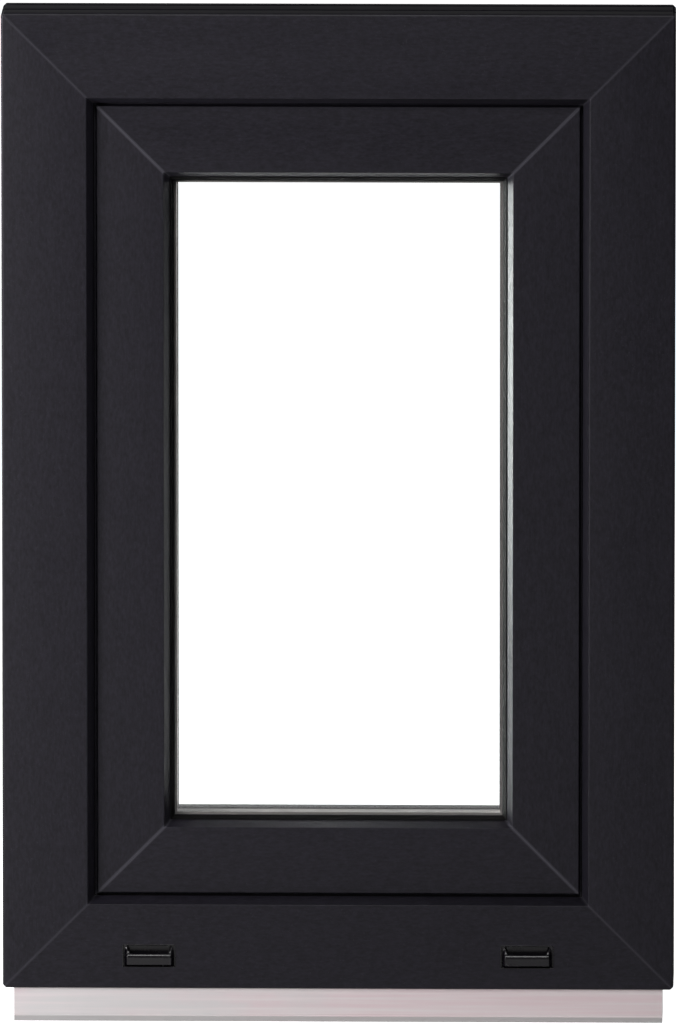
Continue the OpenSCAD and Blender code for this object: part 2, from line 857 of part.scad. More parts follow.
module rack_teeth() {
    half = gear_pitch / 4 - backlash / 4;
    top = gear_m;
    foot = 1.25 * gear_m;
    lean = tan(pressure);
    for (k = [-7 : 7]) translate([k * gear_pitch, groove_mid + rod_w / 2, spindle_in - gear_r])
        rotate([90, 0, 0]) linear_extrude(rod_w) polygon([
            [-half - foot * lean, -foot], [half + foot * lean, -foot],
            [half - top * lean, top], [-half + top * lean, top]
        ]);
}

// places that the screws through the gear pass, slotted for the travel
module rod_slots(side) {
    for (p = faceplate_screw_at) if (p[0] == side) translate([p[1], groove_mid, 0])
        slot(2 * travel + 6.4, 5.2, sash_in, 80);
}

module lock_rod() {
    color("silver") on_side(LOCK_SIDE, rest_slide) {
        difference() {
            rod(-frame_h / 2 + 100, frame_h / 2 - 100);
            rod_slots(LOCK_SIDE);
        }
        translate([handle_up - frame_h / 2, 0, 0]) rack_teeth();
    }
}

module lock_cams() {
    color("gold") for (up = cam_heights) on_side(LOCK_SIDE, up - frame_h / 2 + rest_slide) cam();
}

module top_rod() {
    color("silver") on_side(TOP, rest_slide) difference() {
        rod(-frame_w / 2 + 100, -frame_w / 2 + 225);
        rod_slots(TOP);
    }
}

module bottom_rod() {
    color("silver") on_side(BOTTOM, rest_slide) difference() {
        rod(frame_w / 2 - 235, frame_w / 2 - 100);
        rod_slots(BOTTOM);
    }
}

module bottom_cam() {
    color("gold") on_side(BOTTOM, bottom_cam_x + rest_slide) cam();
}

frame_head();
frame_sill();
frame_jamb_hinge_side();
frame_jamb_lock_side();
frame_rail_steels();
frame_jamb_steels();
frame_stop_seal();
base_profile();
drain_cap_left();
drain_cap_right();
pivot_rest();
pivot_rest_cover();
stay_bearing();
stay_bearing_pin();
stay_bearing_cover();
frame_hinge_screws();
striker_upper();
striker_lower();
tilt_striker();
striker_screws();
corner_pivot();
sash_top_rail();
sash_bottom_rail();
sash_hinge_stile();
sash_lock_stile();
sash_rail_steels();
sash_stile_steels();
sash_lip_seal();
pane_outer();
pane_inner();
spacer_bar();
edge_seal();
glazing_blocks();
glazing_seal_outer();
glazing_seal_inner();
bead_top();
bead_bottom();
bead_hinge_side();
bead_lock_side();
corner_hinge();
gearbox_case();
faceplate_lock();
corner_drive_upper();
corner_drive_lower();
stay_guide();
faceplate_screws();
handle_rosette();
rosette_screws();
handle_lever();
spindle();
pinion();
lock_rod();
lock_cams();
top_rod();
bottom_rod();
bottom_cam();
stay_arm();
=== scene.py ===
"""Looks of a tilt-and-turn casement window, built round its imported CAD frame.

Lengths in section drawings are millimetres: [depth, inward], where depth runs from the frame's
weather face towards the room and inward runs from the frame's outer edge towards the glass.
"""

import json
import math

import bmesh
import bpy
import numpy as np
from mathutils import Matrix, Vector


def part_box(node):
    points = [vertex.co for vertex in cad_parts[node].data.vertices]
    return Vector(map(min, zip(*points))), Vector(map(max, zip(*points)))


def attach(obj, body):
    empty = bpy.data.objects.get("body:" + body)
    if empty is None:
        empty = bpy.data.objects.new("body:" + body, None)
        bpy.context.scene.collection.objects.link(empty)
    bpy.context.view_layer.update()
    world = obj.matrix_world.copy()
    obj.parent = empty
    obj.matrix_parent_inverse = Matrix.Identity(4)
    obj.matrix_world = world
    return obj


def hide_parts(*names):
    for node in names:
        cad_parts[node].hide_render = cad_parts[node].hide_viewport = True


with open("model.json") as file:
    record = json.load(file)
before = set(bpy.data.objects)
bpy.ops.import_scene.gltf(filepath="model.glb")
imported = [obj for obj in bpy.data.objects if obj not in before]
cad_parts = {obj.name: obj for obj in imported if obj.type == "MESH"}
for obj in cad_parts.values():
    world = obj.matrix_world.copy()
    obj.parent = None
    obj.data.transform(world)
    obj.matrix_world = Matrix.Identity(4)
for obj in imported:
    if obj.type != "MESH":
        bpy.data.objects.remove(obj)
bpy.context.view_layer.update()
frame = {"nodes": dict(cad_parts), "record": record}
nodes = frame["nodes"]

MM = 0.001
BOTTOM, LOCK, TOP, HINGE = range(4)
SHARP_DEG = 32.0

# the frame's rectangle, from the CAD bars
FRAME_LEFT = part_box("frame_jamb_hinge_side")[0].x
FRAME_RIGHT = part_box("frame_jamb_lock_side")[1].x
FRAME_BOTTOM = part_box("frame_sill")[0].z
FRAME_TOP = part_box("frame_head")[1].z
FRAME_W = FRAME_RIGHT - FRAME_LEFT
FRAME_H = FRAME_TOP - FRAME_BOTTOM
MID_Z = (FRAME_TOP + FRAME_BOTTOM) / 2
FACE_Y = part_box("frame_sill")[0].y


# ---------------------------------------------------------------- mesh helpers


def new_object(name, points, faces, sharp_deg=SHARP_DEG):
    """Mesh object from vertex and face lists, doubles merged, normals outward, smooth below sharp_deg."""
    mesh = bpy.data.meshes.new(name)
    mesh.from_pydata(np.asarray(points, float).tolist(), [], faces)
    work = bmesh.new()
    work.from_mesh(mesh)
    bmesh.ops.remove_doubles(work, verts=work.verts, dist=1e-7)
    bmesh.ops.recalc_face_normals(work, faces=work.faces)
    work.to_mesh(mesh)
    work.free()
    mesh.polygons.foreach_set("use_smooth", np.ones(len(mesh.polygons), bool))
    mesh.set_sharp_from_angle(angle=math.radians(sharp_deg))
    obj = bpy.data.objects.new(name, mesh)
    bpy.context.scene.collection.objects.link(obj)
    return obj


def loft(name, grid, sharp_deg=SHARP_DEG):
    """Skin over a (rings, points, 3) array of closed loops, in metres, with a flat cap at both ends."""
    rings, count = grid.shape[:2]
    i, j = np.meshgrid(np.arange(rings - 1), np.arange(count), indexing="ij")
    right = (j + 1) % count
    quads = np.stack([i * count + j, i * count + right, (i + 1) * count + right, (i + 1) * count + j], -1)
    faces = quads.reshape(-1, 4).tolist()
    faces.append(list(range(count)))
    faces.append(list(range((rings - 1) * count, rings * count)))
    return new_object(name, grid.reshape(-1, 3), faces, sharp_deg)


def rounded(corners, steps=6):
    """Closed outline with a circular fillet of radius r at each corner (a, b, r).

    The fillet touches both edges at r * tan(turn / 2) from the corner; its centre lies on the
    corner's bisector and its points are spaced evenly in angle.
    """
    pts = np.array([c[:2] for c in corners], float)
    out = []
    for k, corner in enumerate(corners):
        p, before, after = pts[k], pts[k - 1], pts[(k + 1) % len(pts)]
        r = corner[2]
        a, b = before - p, after - p
        la, lb = np.hypot(*a), np.hypot(*b)
        a, b = a / la, b / lb
        half = math.acos(np.clip(a @ b, -1, 1)) / 2
        reach = min(r / math.tan(half), 0.48 * la, 0.48 * lb) if r else 0
        if reach < 1e-6:
            out.append(p[None])
            continue
        r = reach * math.tan(half)
        centre = p + (a + b) / np.hypot(*(a + b)) * math.hypot(reach, r)
        start, end = p + a * reach - centre, p + b * reach - centre
        t0 = math.atan2(start[1], start[0])
        turn = (math.atan2(end[1], end[0]) - t0 + math.pi) % (2 * math.pi) - math.pi
        t = t0 + turn * np.linspace(0, 1, steps)
        out.append(centre + r * np.stack([np.cos(t), np.sin(t)], 1))
    return np.concatenate(out)


def shrink(outline, by):
    """Closed outline moved inwards by a small distance, each point along the mean of its edge normals."""
    ahead = np.roll(outline, -1, 0) - outline
    turn = np.sum(outline[:, 0] * np.roll(outline[:, 1], -1) - np.roll(outline[:, 0], -1) * outline[:, 1])
    normal = np.stack([ahead[:, 1], -ahead[:, 0]], 1) * (1 if turn > 0 else -1)
    normal /= np.maximum(np.hypot(*normal.T), 1e-9)[:, None]
    mean = normal + np.roll(normal, 1, 0)
    mean /= np.maximum(np.hypot(*mean.T), 1e-9)[:, None]
    return outline - mean * by


def to_side(along, depth, inward, side):
    """Metres in the row frame of points given in a side's own axes, in metres.

    The side's bar lies along the bottom and is turned a quarter for each step to lock side, top
    and hinge side.
    """
    half = (FRAME_H if side % 2 == 0 else FRAME_W) / 2
    x, z = along, inward - half
    turn = math.radians(-90 * side)
    return np.stack(
        [x * math.cos(turn) + z * math.sin(turn),
         depth + FACE_Y + 0 * x,
         -x * math.sin(turn) + z * math.cos(turn) + MID_Z], -1)


def mitred_bar(name, outline, side, groove=0.35, clip=0.0):
    """Bar of an outline carried along one side and cut at 45 degrees at both ends.

    Each ring's points lie at half the side's length minus their inward place, so that the cut is
    the corner's bisector. The last ring is shrunk by groove, which leaves a fine V at the weld.
    clip trims the outermost edge of the corner at 45 degrees.
    """
    length = FRAME_W if side % 2 == 0 else FRAME_H
    shrunk = shrink(outline, groove)
    rings = []
    for sign, back, loop in ((-1, 0, shrunk), (-1, groove, outline), (1, groove, outline), (1, 0, shrunk)):
        depth, inward = loop[:, 0] * MM, loop[:, 1] * MM
        cut = np.maximum(inward, clip * MM - inward)
        along = sign * (length / 2 - cut - back * MM)
        rings.append(to_side(along, depth, inward, side))
    return loft(name, np.array(rings))


def cut_away(obj, cutters):
    """Cuts closed cutter objects out of obj with an exact Boolean, applies it and deletes the cutters."""
    for cutter in cutters:
        mod = obj.modifiers.new("cut", "BOOLEAN")
        mod.operation, mod.solver, mod.object = "DIFFERENCE", "EXACT", cutter
    graph = bpy.context.evaluated_depsgraph_get()
    mesh = bpy.data.meshes.new_from_object(obj.evaluated_get(graph))
    obj.modifiers.clear()
    old, name = obj.data, obj.data.name
    obj.data = mesh
    bpy.data.meshes.remove(old)
    mesh.name = name
    mesh.polygons.foreach_set("use_smooth", np.ones(len(mesh.polygons), bool))
    mesh.set_sharp_from_angle(angle=math.radians(SHARP_DEG))
    for cutter in cutters:
        bpy.data.objects.remove(cutter)


# ---------------------------------------------------------------- node helpers


def add(tree, kind, **settings):
    """New node; settings name its properties."""
    made = tree.nodes.new(kind)
    for key, value in settings.items():
        setattr(made, key, value)
    return made


def feed(tree, node, **inputs):
    """Sets or links a node's inputs: by name, with _ for spaces, or by place, as i0, i1 and so on.

    A value that is a socket is linked, and any other is set.
    """
    for key, value in inputs.items():
        by_place = key[0] == "i" and key[1:].isdigit()
        socket = node.inputs[int(key[1:]) if by_place else key.replace("_", " ")]
        if isinstance(value, bpy.types.NodeSocket):
            tree.links.new(value, socket)
        else:
            socket.default_value = value
    return node


def maths(tree, operation, a, b=0.0):
    """Output of a Math node."""
    return feed(tree, add(tree, "ShaderNodeMath", operation=operation), i0=a, i1=b).outputs[0]


def ramp(tree, value, low, high, to_low=0.0, to_high=1.0):
    """Smooth step of a value from low to high."""
    made = add(tree, "ShaderNodeMapRange", interpolation_type="SMOOTHSTEP")
    feed(tree, made, Value=value, From_Min=low, From_Max=high, To_Min=to_low, To_Max=to_high)
    return made.outputs[0]


def blend_colour(tree, factor, a, b, mode="MIX"):
    """Output of a colour Mix node."""
    made = add(tree, "ShaderNodeMix", data_type="RGBA", blend_type=mode)
    feed(tree, made, Factor=factor)
    for index, value in ((6, a), (7, b)):
        if isinstance(value, bpy.types.NodeSocket):
            tree.links.new(value, made.inputs[index])
        else:
            made.inputs[index].default_value = (*value[:3], 1)
    return made.outputs[2]


def place(tree, stretch=(1, 1, 1)):
    """Object coordinates, stretched by a Mapping node."""
    coords = add(tree, "ShaderNodeTexCoord").outputs["Object"]
    return feed(tree, add(tree, "ShaderNodeMapping"), Vector=coords, Scale=stretch).outputs[0]


def noise(tree, vector, scale, detail=3.0, rough=0.55):
    """Factor of a Noise texture."""
    made = add(tree, "ShaderNodeTexNoise")
    return feed(tree, made, Vector=vector, Scale=scale, Detail=detail, Roughness=rough).outputs["Fac"]


def new_group(name, inputs, outputs):
    """Shader node group with sockets given as (label, kind): (tree, input node, output node)."""
    tree = bpy.data.node_groups.new(name, "ShaderNodeTree")
    for in_out, sockets in (("INPUT", inputs), ("OUTPUT", outputs)):
        for label, kind in sockets:
            tree.interface.new_socket(label, in_out=in_out, socket_type="NodeSocket" + kind)
    return tree, add(tree, "NodeGroupInput"), add(tree, "NodeGroupOutput")


def use_group(tree, group, **inputs):
    """Places a node group in a material and feeds it."""
    made = add(tree, "ShaderNodeGroup")
    made.node_tree = group
    return feed(tree, made, **inputs)


def new_material(name):
    """Material with its Principled shader: (material, tree, shader)."""
    made = bpy.data.materials.new(name)
    made.use_nodes = True
    return made, made.node_tree, made.node_tree.nodes["Principled BSDF"]


def bump(tree, height, strength, distance):
    """Normal from a height, in metres of distance."""
    made = add(tree, "ShaderNodeBump")
    return feed(tree, made, Height=height, Strength=strength, Distance=distance).outputs[0]


# ---------------------------------------------------------------- shared effects


def weld_seam_group():
    """Mask of the four diagonal welds: one where |x| - width / 2 equals |z - middle| - height / 2."""
    tree, source, sink = new_group(
        "weld seam",
        [("Place", "Vector"), ("Width", "Float")],
        [("Mask", "Float")])
    split = feed(tree, add(tree, "ShaderNodeSeparateXYZ"), Vector=source.outputs["Place"])
    across = maths(tree, "SUBTRACT", maths(tree, "ABSOLUTE", split.outputs[0]), FRAME_W / 2)
    height = maths(tree, "SUBTRACT", split.outputs[2], MID_Z)
    upward = maths(tree, "SUBTRACT", maths(tree, "ABSOLUTE", height), FRAME_H / 2)
    off = maths(tree, "ABSOLUTE", maths(tree, "SUBTRACT", across, upward))
    near = maths(tree, "DIVIDE", off, source.outputs["Width"])
    feed(tree, sink, Mask=ramp(tree, near, 0.4, 1.6, 1.0, 0.0))
    return tree


def grain_group():
    """Fine streaks, a broad mottle and scattered pores: three noises at different scales."""
    tree, source, sink = new_group(
        "foil grain",
        [("Place", "Vector"), ("Fineness", "Float")],
        [("Streaks", "Float"), ("Mottle", "Float"), ("Pores", "Float")])
    fine = noise(tree, source.outputs["Place"], source.outputs["Fineness"], 2.0, 0.6)
    broad = noise(tree, source.outputs["Place"], 14.0, 4.0, 0.6)
    coarser = maths(tree, "MULTIPLY", source.outputs["Fineness"], 0.31)
    pores = noise(tree, source.outputs["Place"], coarser, 1.0, 0.4)
    feed(tree, sink, Streaks=fine, Mottle=broad, Pores=ramp(tree, pores, 0.58, 0.75))
    return tree


def wear_group():
    """Handling marks: a broken-up noise that picks out rubbed patches, and fine dust specks."""
    tree, source, sink = new_group(
        "wear and dust",
        [("Place", "Vector"), ("Amount", "Float")],
        [("Rubbed", "Float"), ("Dust", "Float")])
    patches = noise(tree, source.outputs["Place"], 22.0, 6.0, 0.65)
    rubbed = maths(tree, "MULTIPLY", ramp(tree, patches, 0.5, 0.8), source.outputs["Amount"])
    specks = noise(tree, source.outputs["Place"], 700.0, 1.0, 0.5)
    dust = maths(tree, "MULTIPLY", ramp(tree, specks, 0.66, 0.78), source.outputs["Amount"])
    feed(tree, sink, Rubbed=rubbed, Dust=dust)
    return tree


SEAM = weld_seam_group()
GRAIN = grain_group()
WEAR = wear_group()


# ---------------------------------------------------------------- materials


def foil(name, upright, seam_strength):
    """Anthracite foil: satin, with hair-fine streaks along the bar and welds at the mitres painted paler,
    partly their own touched-up colour and partly a painted highlight where the weld groove catches light.
    """
    made, tree, shader = new_material(name)
    stretch = (1, 1, 0.05) if upright else (0.05, 1, 1)
    fleck_stretch = (1, 1, 0.45) if upright else (0.45, 1, 1)
    plain, along = place(tree), place(tree, stretch)
    grain = use_group(tree, GRAIN, Place=along, Fineness=1500.0)
    wear = use_group(tree, WEAR, Place=plain, Amount=0.35)
    seam = use_group(tree, SEAM, Place=plain, Width=0.0011 + 0.0012 * seam_strength)
    streak = maths(tree, "MULTIPLY", maths(tree, "SUBTRACT", grain.outputs["Streaks"], 0.5), 0.55)
    flecks = maths(tree, "SUBTRACT", noise(tree, place(tree, fleck_stretch), 420.0, 3.0, 0.65), 0.5)
    mottle = maths(tree, "MULTIPLY", grain.outputs["Mottle"], 0.3)
    shade = maths(tree, "ADD", maths(tree, "ADD", streak, 0.34), mottle)
    shade = maths(tree, "ADD", shade, maths(tree, "MULTIPLY", flecks, 1.5))
    colour = blend_colour(tree, shade, (0.0036, 0.0031, 0.0050), (0.0165, 0.0150, 0.0225))
    colour = blend_colour(tree, wear.outputs["Dust"], colour, (0.035, 0.034, 0.042))
    # painted highlight: the welds are painted paler, partly their own touched-up colour and partly the
    # light the weld groove catches, stronger on the sash than on the frame
    weld_tone_and_highlight = maths(tree, "MULTIPLY", seam.outputs["Mask"], seam_strength)
    colour = blend_colour(tree, weld_tone_and_highlight, colour, (0.07, 0.068, 0.082))
    rough = maths(tree, "ADD", maths(tree, "MULTIPLY", grain.outputs["Mottle"], 0.16), 0.4)
    rough = maths(tree, "SUBTRACT", rough, maths(tree, "MULTIPLY", wear.outputs["Rubbed"], 0.18))
    pits = maths(tree, "MULTIPLY", grain.outputs["Pores"], 0.8)
    height = maths(tree, "SUBTRACT", grain.outputs["Streaks"], pits)
    feed(tree, shader, Base_Color=colour, Roughness=rough, Normal=bump(tree, height, 0.35, 0.00006),
         Specular_IOR_Level=0.26)
    return made


def plastic(name, base, rough=0.45, speckle=0.12, fineness=1600.0, relief=0.00005):
    """Moulded plastic: even colour with slight mottle and a spark-eroded grain."""
    made, tree, shader = new_material(name)
    plain = place(tree)
    wear = use_group(tree, WEAR, Place=plain, Amount=0.4)
    even = noise(tree, plain, fineness, 2.0)
    broad = noise(tree, plain, 30.0, 4.0)
    dark = tuple(c * (1 - speckle) for c in base)
    light = tuple(min(1, c * (1 + speckle)) for c in base)
    colour = blend_colour(tree, broad, dark, light)
    dusty = tuple(min(1, c * 1.5 + 0.006) for c in base)
    colour = blend_colour(tree, wear.outputs["Dust"], colour, dusty)
    roughness = maths(tree, "ADD", maths(tree, "MULTIPLY", broad, 0.15), rough - 0.07)
    feed(tree, shader, Base_Color=colour, Roughness=roughness, Normal=bump(tree, even, 0.3, relief))
    return made


def banded_plastic(name):
    """Base profile: raw recycled plastic in long drawn bands, from warm pink grey to plain grey."""
    made, tree, shader = new_material(name)
    bands = noise(tree, place(tree, (0.02, 0.4, 1)), 160.0, 4.0, 0.6)
    clouds = noise(tree, place(tree, (0.35, 1, 1)), 16.0, 4.0, 0.6)
    warmth = ramp(tree, clouds, 0.38, 0.62)
    colour = blend_colour(tree, warmth, (0.65, 0.635, 0.63), (0.71, 0.585, 0.60))
    colour = blend_colour(tree, ramp(tree, bands, 0.35, 0.7), colour, (0.74, 0.68, 0.68))
    height = feed(tree, add(tree, "ShaderNodeSeparateXYZ"), Vector=place(tree)).outputs[2]
    lip = ramp(tree, height, 4.4 * MM, 5.2 * MM, 0.85, 0.0)
    colour = blend_colour(tree, lip, colour, (0.40, 0.395, 0.39))
    lines = noise(tree, place(tree, (0.03, 1, 1)), 900.0, 2.0)
    feed(tree, shader, Base_Color=colour, Roughness=ramp(tree, bands, 0.2, 0.8, 0.42, 0.58),
         Normal=bump(tree, maths(tree, "ADD", lines, bands), 0.3, 0.00006))
    return made


def rubber(name, base=(0.0013, 0.0011, 0.0013)):
    """Extruded seal: matt black, bloomed here and there, with fine draw lines."""
    made, tree, shader = new_material(name)
    plain = place(tree)
    bloom = ramp(tree, noise(tree, plain, 60.0, 5.0, 0.7), 0.45, 0.8)
    lines = noise(tree, plain, 1800.0, 1.0)
    bloomed = tuple(c * 3 + 0.001 for c in base)
    colour = blend_colour(tree, maths(tree, "MULTIPLY", bloom, 0.35), base, bloomed)
    feed(tree, shader, Base_Color=colour, Roughness=ramp(tree, bloom, 0, 1, 0.5, 0.75),
         Specular_IOR_Level=0.12, Normal=bump(tree, lines, 0.25, 0.00004))
    return made


def metal(name, base, rough=0.3, stretch=(1, 1, 1), scratch=0.35, spangle=0.0):
    """Plated or brushed metal: fine scratches, clouded plating and, for galvanised steel, spangle."""
    made, tree, shader = new_material(name)
    plain, along = place(tree), place(tree, stretch)
    wear = use_group(tree, WEAR, Place=plain, Amount=0.6)
    scratches = noise(tree, along, 1400.0, 3.0, 0.7)
    cloud = noise(tree, plain, 90.0, 4.0, 0.6)
    dark = tuple(c * 0.72 for c in base)
    colour = blend_colour(tree, cloud, dark, base)
    if spangle:
        cells = add(tree, "ShaderNodeTexVoronoi")
        feed(tree, cells, Vector=plain, Scale=160.0)
        colour = blend_colour(tree, spangle, colour, cells.outputs["Color"], "OVERLAY")
    colour = blend_colour(tree, wear.outputs["Rubbed"], colour, tuple(min(1, c * 1.12) for c in base))
    roughness = maths(tree, "ADD", maths(tree, "MULTIPLY", scratches, scratch * 0.5), rough - 0.06)
    feed(tree, shader, Base_Color=colour, Metallic=1.0, Roughness=roughness,
         Normal=bump(tree, scratches, 0.2, 0.00003))
    return made


def glass(name):
    """Float glass: clear with a green-grey cast, faint wipe marks in its roughness; lamps shine through."""
    made, tree, shader = new_material(name)
    plain = place(tree)
    wipe = noise(tree, place(tree, (1, 1, 3)), 9.0, 5.0, 0.6)
    rough = ramp(tree, wipe, 0.55, 0.85, 0.0, 0.02)
    tint = blend_colour(tree, noise(tree, plain, 3.0), (0.965, 0.985, 0.975), (0.985, 0.992, 0.99))
    feed(tree, shader, Base_Color=tint, Roughness=rough, IOR=1.5, Transmission_Weight=1.0)
    through = add(tree, "ShaderNodeBsdfTransparent")
    through.inputs[0].default_value = (0.95, 0.97, 0.96, 1)
    mix = add(tree, "ShaderNodeMixShader")
    path = add(tree, "ShaderNodeLightPath")
    tree.links.new(path.outputs["Is Shadow Ray"], mix.inputs[0])
    tree.links.new(shader.outputs[0], mix.inputs[1])
    tree.links.new(through.outputs[0], mix.inputs[2])
    tree.links.new(mix.outputs[0], tree.nodes["Material Output"].inputs["Surface"])
    return made


# how strongly each body's welds are painted paler, partly as a painted highlight
SEAM_STRENGTHS = {"frame": 0.34, "sash": 0.66}
FOILS = {(body, upright): foil(f"{body}_foil_{'upright' if upright else 'level'}", upright, seam)
         for body, seam in SEAM_STRENGTHS.items() for upright in (False, True)}
SLOT_LOOKS = {
    "foiled_profile": FOILS["frame", False],
    "galvanised_steel": metal("galvanised_steel", (0.5, 0.51, 0.53), 0.42, spangle=0.25),
    "black_seal": rubber("seal_rubber"),
    "sealant": rubber("edge_sealant", (0.02, 0.02, 0.018)),
    "base_plastic": banded_plastic("base_plastic"),
    "cap_plastic": plastic("cap_plastic", (0.0034, 0.0028, 0.0045), 0.26, 0.03, 1100.0, 0.00001),
    "plated_steel": metal("zinc_plating", (0.66, 0.67, 0.69), 0.28),
    "cover_plastic": plastic("cover_plastic", (0.5, 0.5, 0.51), 0.34, 0.05),
    "screw_steel": metal("screw_steel", (0.55, 0.54, 0.5), 0.25),
    "cam_steel": metal("cam_steel", (0.6, 0.59, 0.56), 0.22),
    "clear_glass": glass("clear_glass"),
    "spacer_metal": metal("spacer_aluminium", (0.62, 0.58, 0.57), 0.42),
    "block_plastic": plastic("block_plastic", (0.04, 0.1, 0.35), 0.5, 0.1),
    "handle_metal": metal("anodised_handle", (0.62, 0.62, 0.63), 0.3, (1, 1, 0.06), 0.3),
}


def paint(obj, look):
    """Gives an object one material."""
    obj.data.materials.clear()
    obj.data.materials.append(look)


for part in frame["record"]["subparts"]:
    paint(nodes[part["node"]], SLOT_LOOKS[part["material_slot"]])


def finish_piece(obj, body, slot, look, *stands_for):
    """Paints a new piece, rides it on its body and hides the CAD nodes that it stands for."""
    paint(obj, look)
    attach(obj, body)
    if stands_for:
        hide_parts(*stands_for)


# ---------------------------------------------------------------- foiled bars

# [depth, inward, fillet radius] of every corner
FRAME_CORNERS = [
    (0, 0, 2.4), (0, 76, 1.3), (11.2, 81.8, 0.8), (13.6, 82, 0.6), (15, 80.4, 0.3),
    (15, 77.5, 0), (12.4, 78, 0), (12.4, 73.5, 0), (15, 74, 0), (15, 52, 0.8),
    (17, 50, 0.8), (34, 50, 2), (41, 54, 2), (70, 54, 1), (70, 0, 2.2),
    (60, 0, 0.3), (61, 3, 0.3), (51, 3, 0.3), (52, 0, 0.3),
    (30, 0, 0.3), (31, 3, 0.3), (21, 3, 0.3), (22, 0, 0.3),
]
SASH_CORNERS = [
    (19, 66, 0.8), (19, 84, 0.8), (12.9, 84.7, 0), (12, 85.3, 0.7), (12, 144.2, 0.9),
    (21.9, 149.3, 0.8), (24.3, 149.5, 0), (24.3, 145.5, 0), (21.9, 146, 0), (21.9, 141.5, 0),
    (24.3, 142, 0), (24.3, 131, 0.5), (71, 131, 0.2), (71, 126.5, 0), (75, 126.5, 0),
    (75, 131, 0.2), (82, 131, 0.8), (82, 46, 2.2), (73.4, 46, 0.8), (73, 48.5, 0),
    (75.5, 48.1, 0), (75.5, 51.9, 0), (73, 51.5, 0), (73, 66, 0.6), (68, 66, 0),
    (68, 69, 0), (66, 69, 0), (66, 77, 0), (54, 77, 0), (54, 69, 0), (52, 69, 0), (52, 66, 0),
]
BEAD_CORNERS = [
    (54, 131, 0), (54, 156, 1.2), (80.5, 156, 18.5), (80.5, 131, 0.4), (74.8, 131, 0),
    (74.8, 127.4, 0.3), (73.6, 126.8, 0.3), (71.2, 127.8, 0.3), (71.2, 131, 0),
]

FRAME_BARS = {"frame_sill": BOTTOM, "frame_jamb_lock_side": LOCK, "frame_head": TOP,
              "frame_jamb_hinge_side": HINGE}
SASH_BARS = {"sash_bottom_rail": BOTTOM, "sash_lock_stile": LOCK, "sash_top_rail": TOP,
             "sash_hinge_stile": HINGE}
BEADS = {"bead_bottom": BOTTOM, "bead_lock_side": LOCK, "bead_top": TOP, "bead_hinge_side": HINGE}


BAR_GROOVE, BEAD_GROOVE = 0.35, 0.25
FRAME_CORNER_CLIP = 3.0
BAR_FILLET_STEPS, BEAD_FILLET_STEPS = 7, 20


def build_bars():
    """Frame bars, sash bars and glazing beads, each an outline carried along its side."""
    kinds = [
        (FRAME_BARS, FRAME_CORNERS, "frame", BAR_GROOVE, FRAME_CORNER_CLIP, BAR_FILLET_STEPS),
        (SASH_BARS, SASH_CORNERS, "sash", BAR_GROOVE, 0.0, BAR_FILLET_STEPS),
        (BEADS, BEAD_CORNERS, "sash", BEAD_GROOVE, 0.0, BEAD_FILLET_STEPS),
    ]
    made = {}
    for bars, corners, body, groove, clip, steps in kinds:
        outline = rounded(corners, steps)
        for name, side in bars.items():
            made[name] = mitred_bar("foiled_" + name, outline, side, groove, clip)
            finish_piece(made[name], body, "foiled_profile", FOILS[body, side % 2 == 1], name)
    return made


bars = build_bars()

# ---------------------------------------------------------------- drillings and drain slots


def rod_between(name, start, end, radius, steps=32):
    """Closed cylinder between two points: circles in the plane across the line."""
    start, end = np.array(start, float), np.array(end, float)
    axis = (end - start) / np.linalg.norm(end - start)
    side = np.cross(axis, (0, 0, 1) if abs(axis[2]) < 0.9 else (1, 0, 0))
    side /= np.linalg.norm(side)
    t = np.linspace(0, 2 * math.pi, steps, endpoint=False)[:, None]
    circle = radius * (np.cos(t) * side + np.sin(t) * np.cross(axis, side))
    return loft(name, np.array([start + circle, end + circle]))


def box_between(name, low, high):
    """Closed box between two corners."""
    (x0, y0, z0), (x1, y1, z1) = low, high
    loop = np.array([(x0, y0), (x1, y0), (x1, y1), (x0, y1)])
    return loft(name, np.array([np.column_stack([loop, np.full(4, z)]) for z in (z0, z1)]))


# cutters, in mm: depth is from the frame's face, and up is from its foot or from a cap's middle
FIXING_DEPTH, FIXING_RADIUS = 44.2, 3.2
FIXING_HEIGHTS = (150, 730)
FIXING_REACH, OVERSHOOT = 70, 10
DRAIN_SLOT = ((-14, 21, 40), (14, 30, 52))
CAP_RECESS = ((-23.5, -5, -10.0), (23.5, 2.9, 10.0))
CAP_MOUTH_HOLE = ((-20.5, -5, 1.7), (20.5, 9.6, 9.5))


def mill(corners, x, z):
    """Box cutter from two corners (across, depth, up) in mm, at metres x and z on the frame's face."""
    low, high = ((x + across * MM, FACE_Y + depth * MM, z + up * MM) for across, depth, up in corners)
    return box_between("mill", low, high)


def drill_bars():
    """Wall fixing holes through the jambs, and drain slots and the caps' recesses in the sill."""
    fixing_y = FACE_Y + FIXING_DEPTH * MM
    for name, inner in (("frame_jamb_hinge_side", 1), ("frame_jamb_lock_side", -1)):
        edge = -inner * FRAME_W / 2
        drills = []
        for up in FIXING_HEIGHTS:
            z = FRAME_BOTTOM + up * MM
            drills.append(rod_between("drill", (edge - inner * OVERSHOOT * MM, fixing_y, z),
                                      (edge + inner * FIXING_REACH * MM, fixing_y, z), FIXING_RADIUS * MM))
        cut_away(bars[name], drills)
    mills = []
    for cap in ("drain_cap_left", "drain_cap_right"):
        low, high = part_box(cap)
        x, z = (low.x + high.x) / 2, (low.z + high.z) / 2
        mills += [mill(DRAIN_SLOT, x, FRAME_BOTTOM), mill(CAP_RECESS, x, z), mill(CAP_MOUTH_HOLE, x, z)]
    cut_away(bars["frame_sill"], mills)


drill_bars()

# ---------------------------------------------------------------- drain caps


def smooth(x, low, high):
    """Smooth step of x from low to high."""
    t = np.clip((x - low) / (high - low), 0, 1)
    return t * t * (3 - 2 * t)


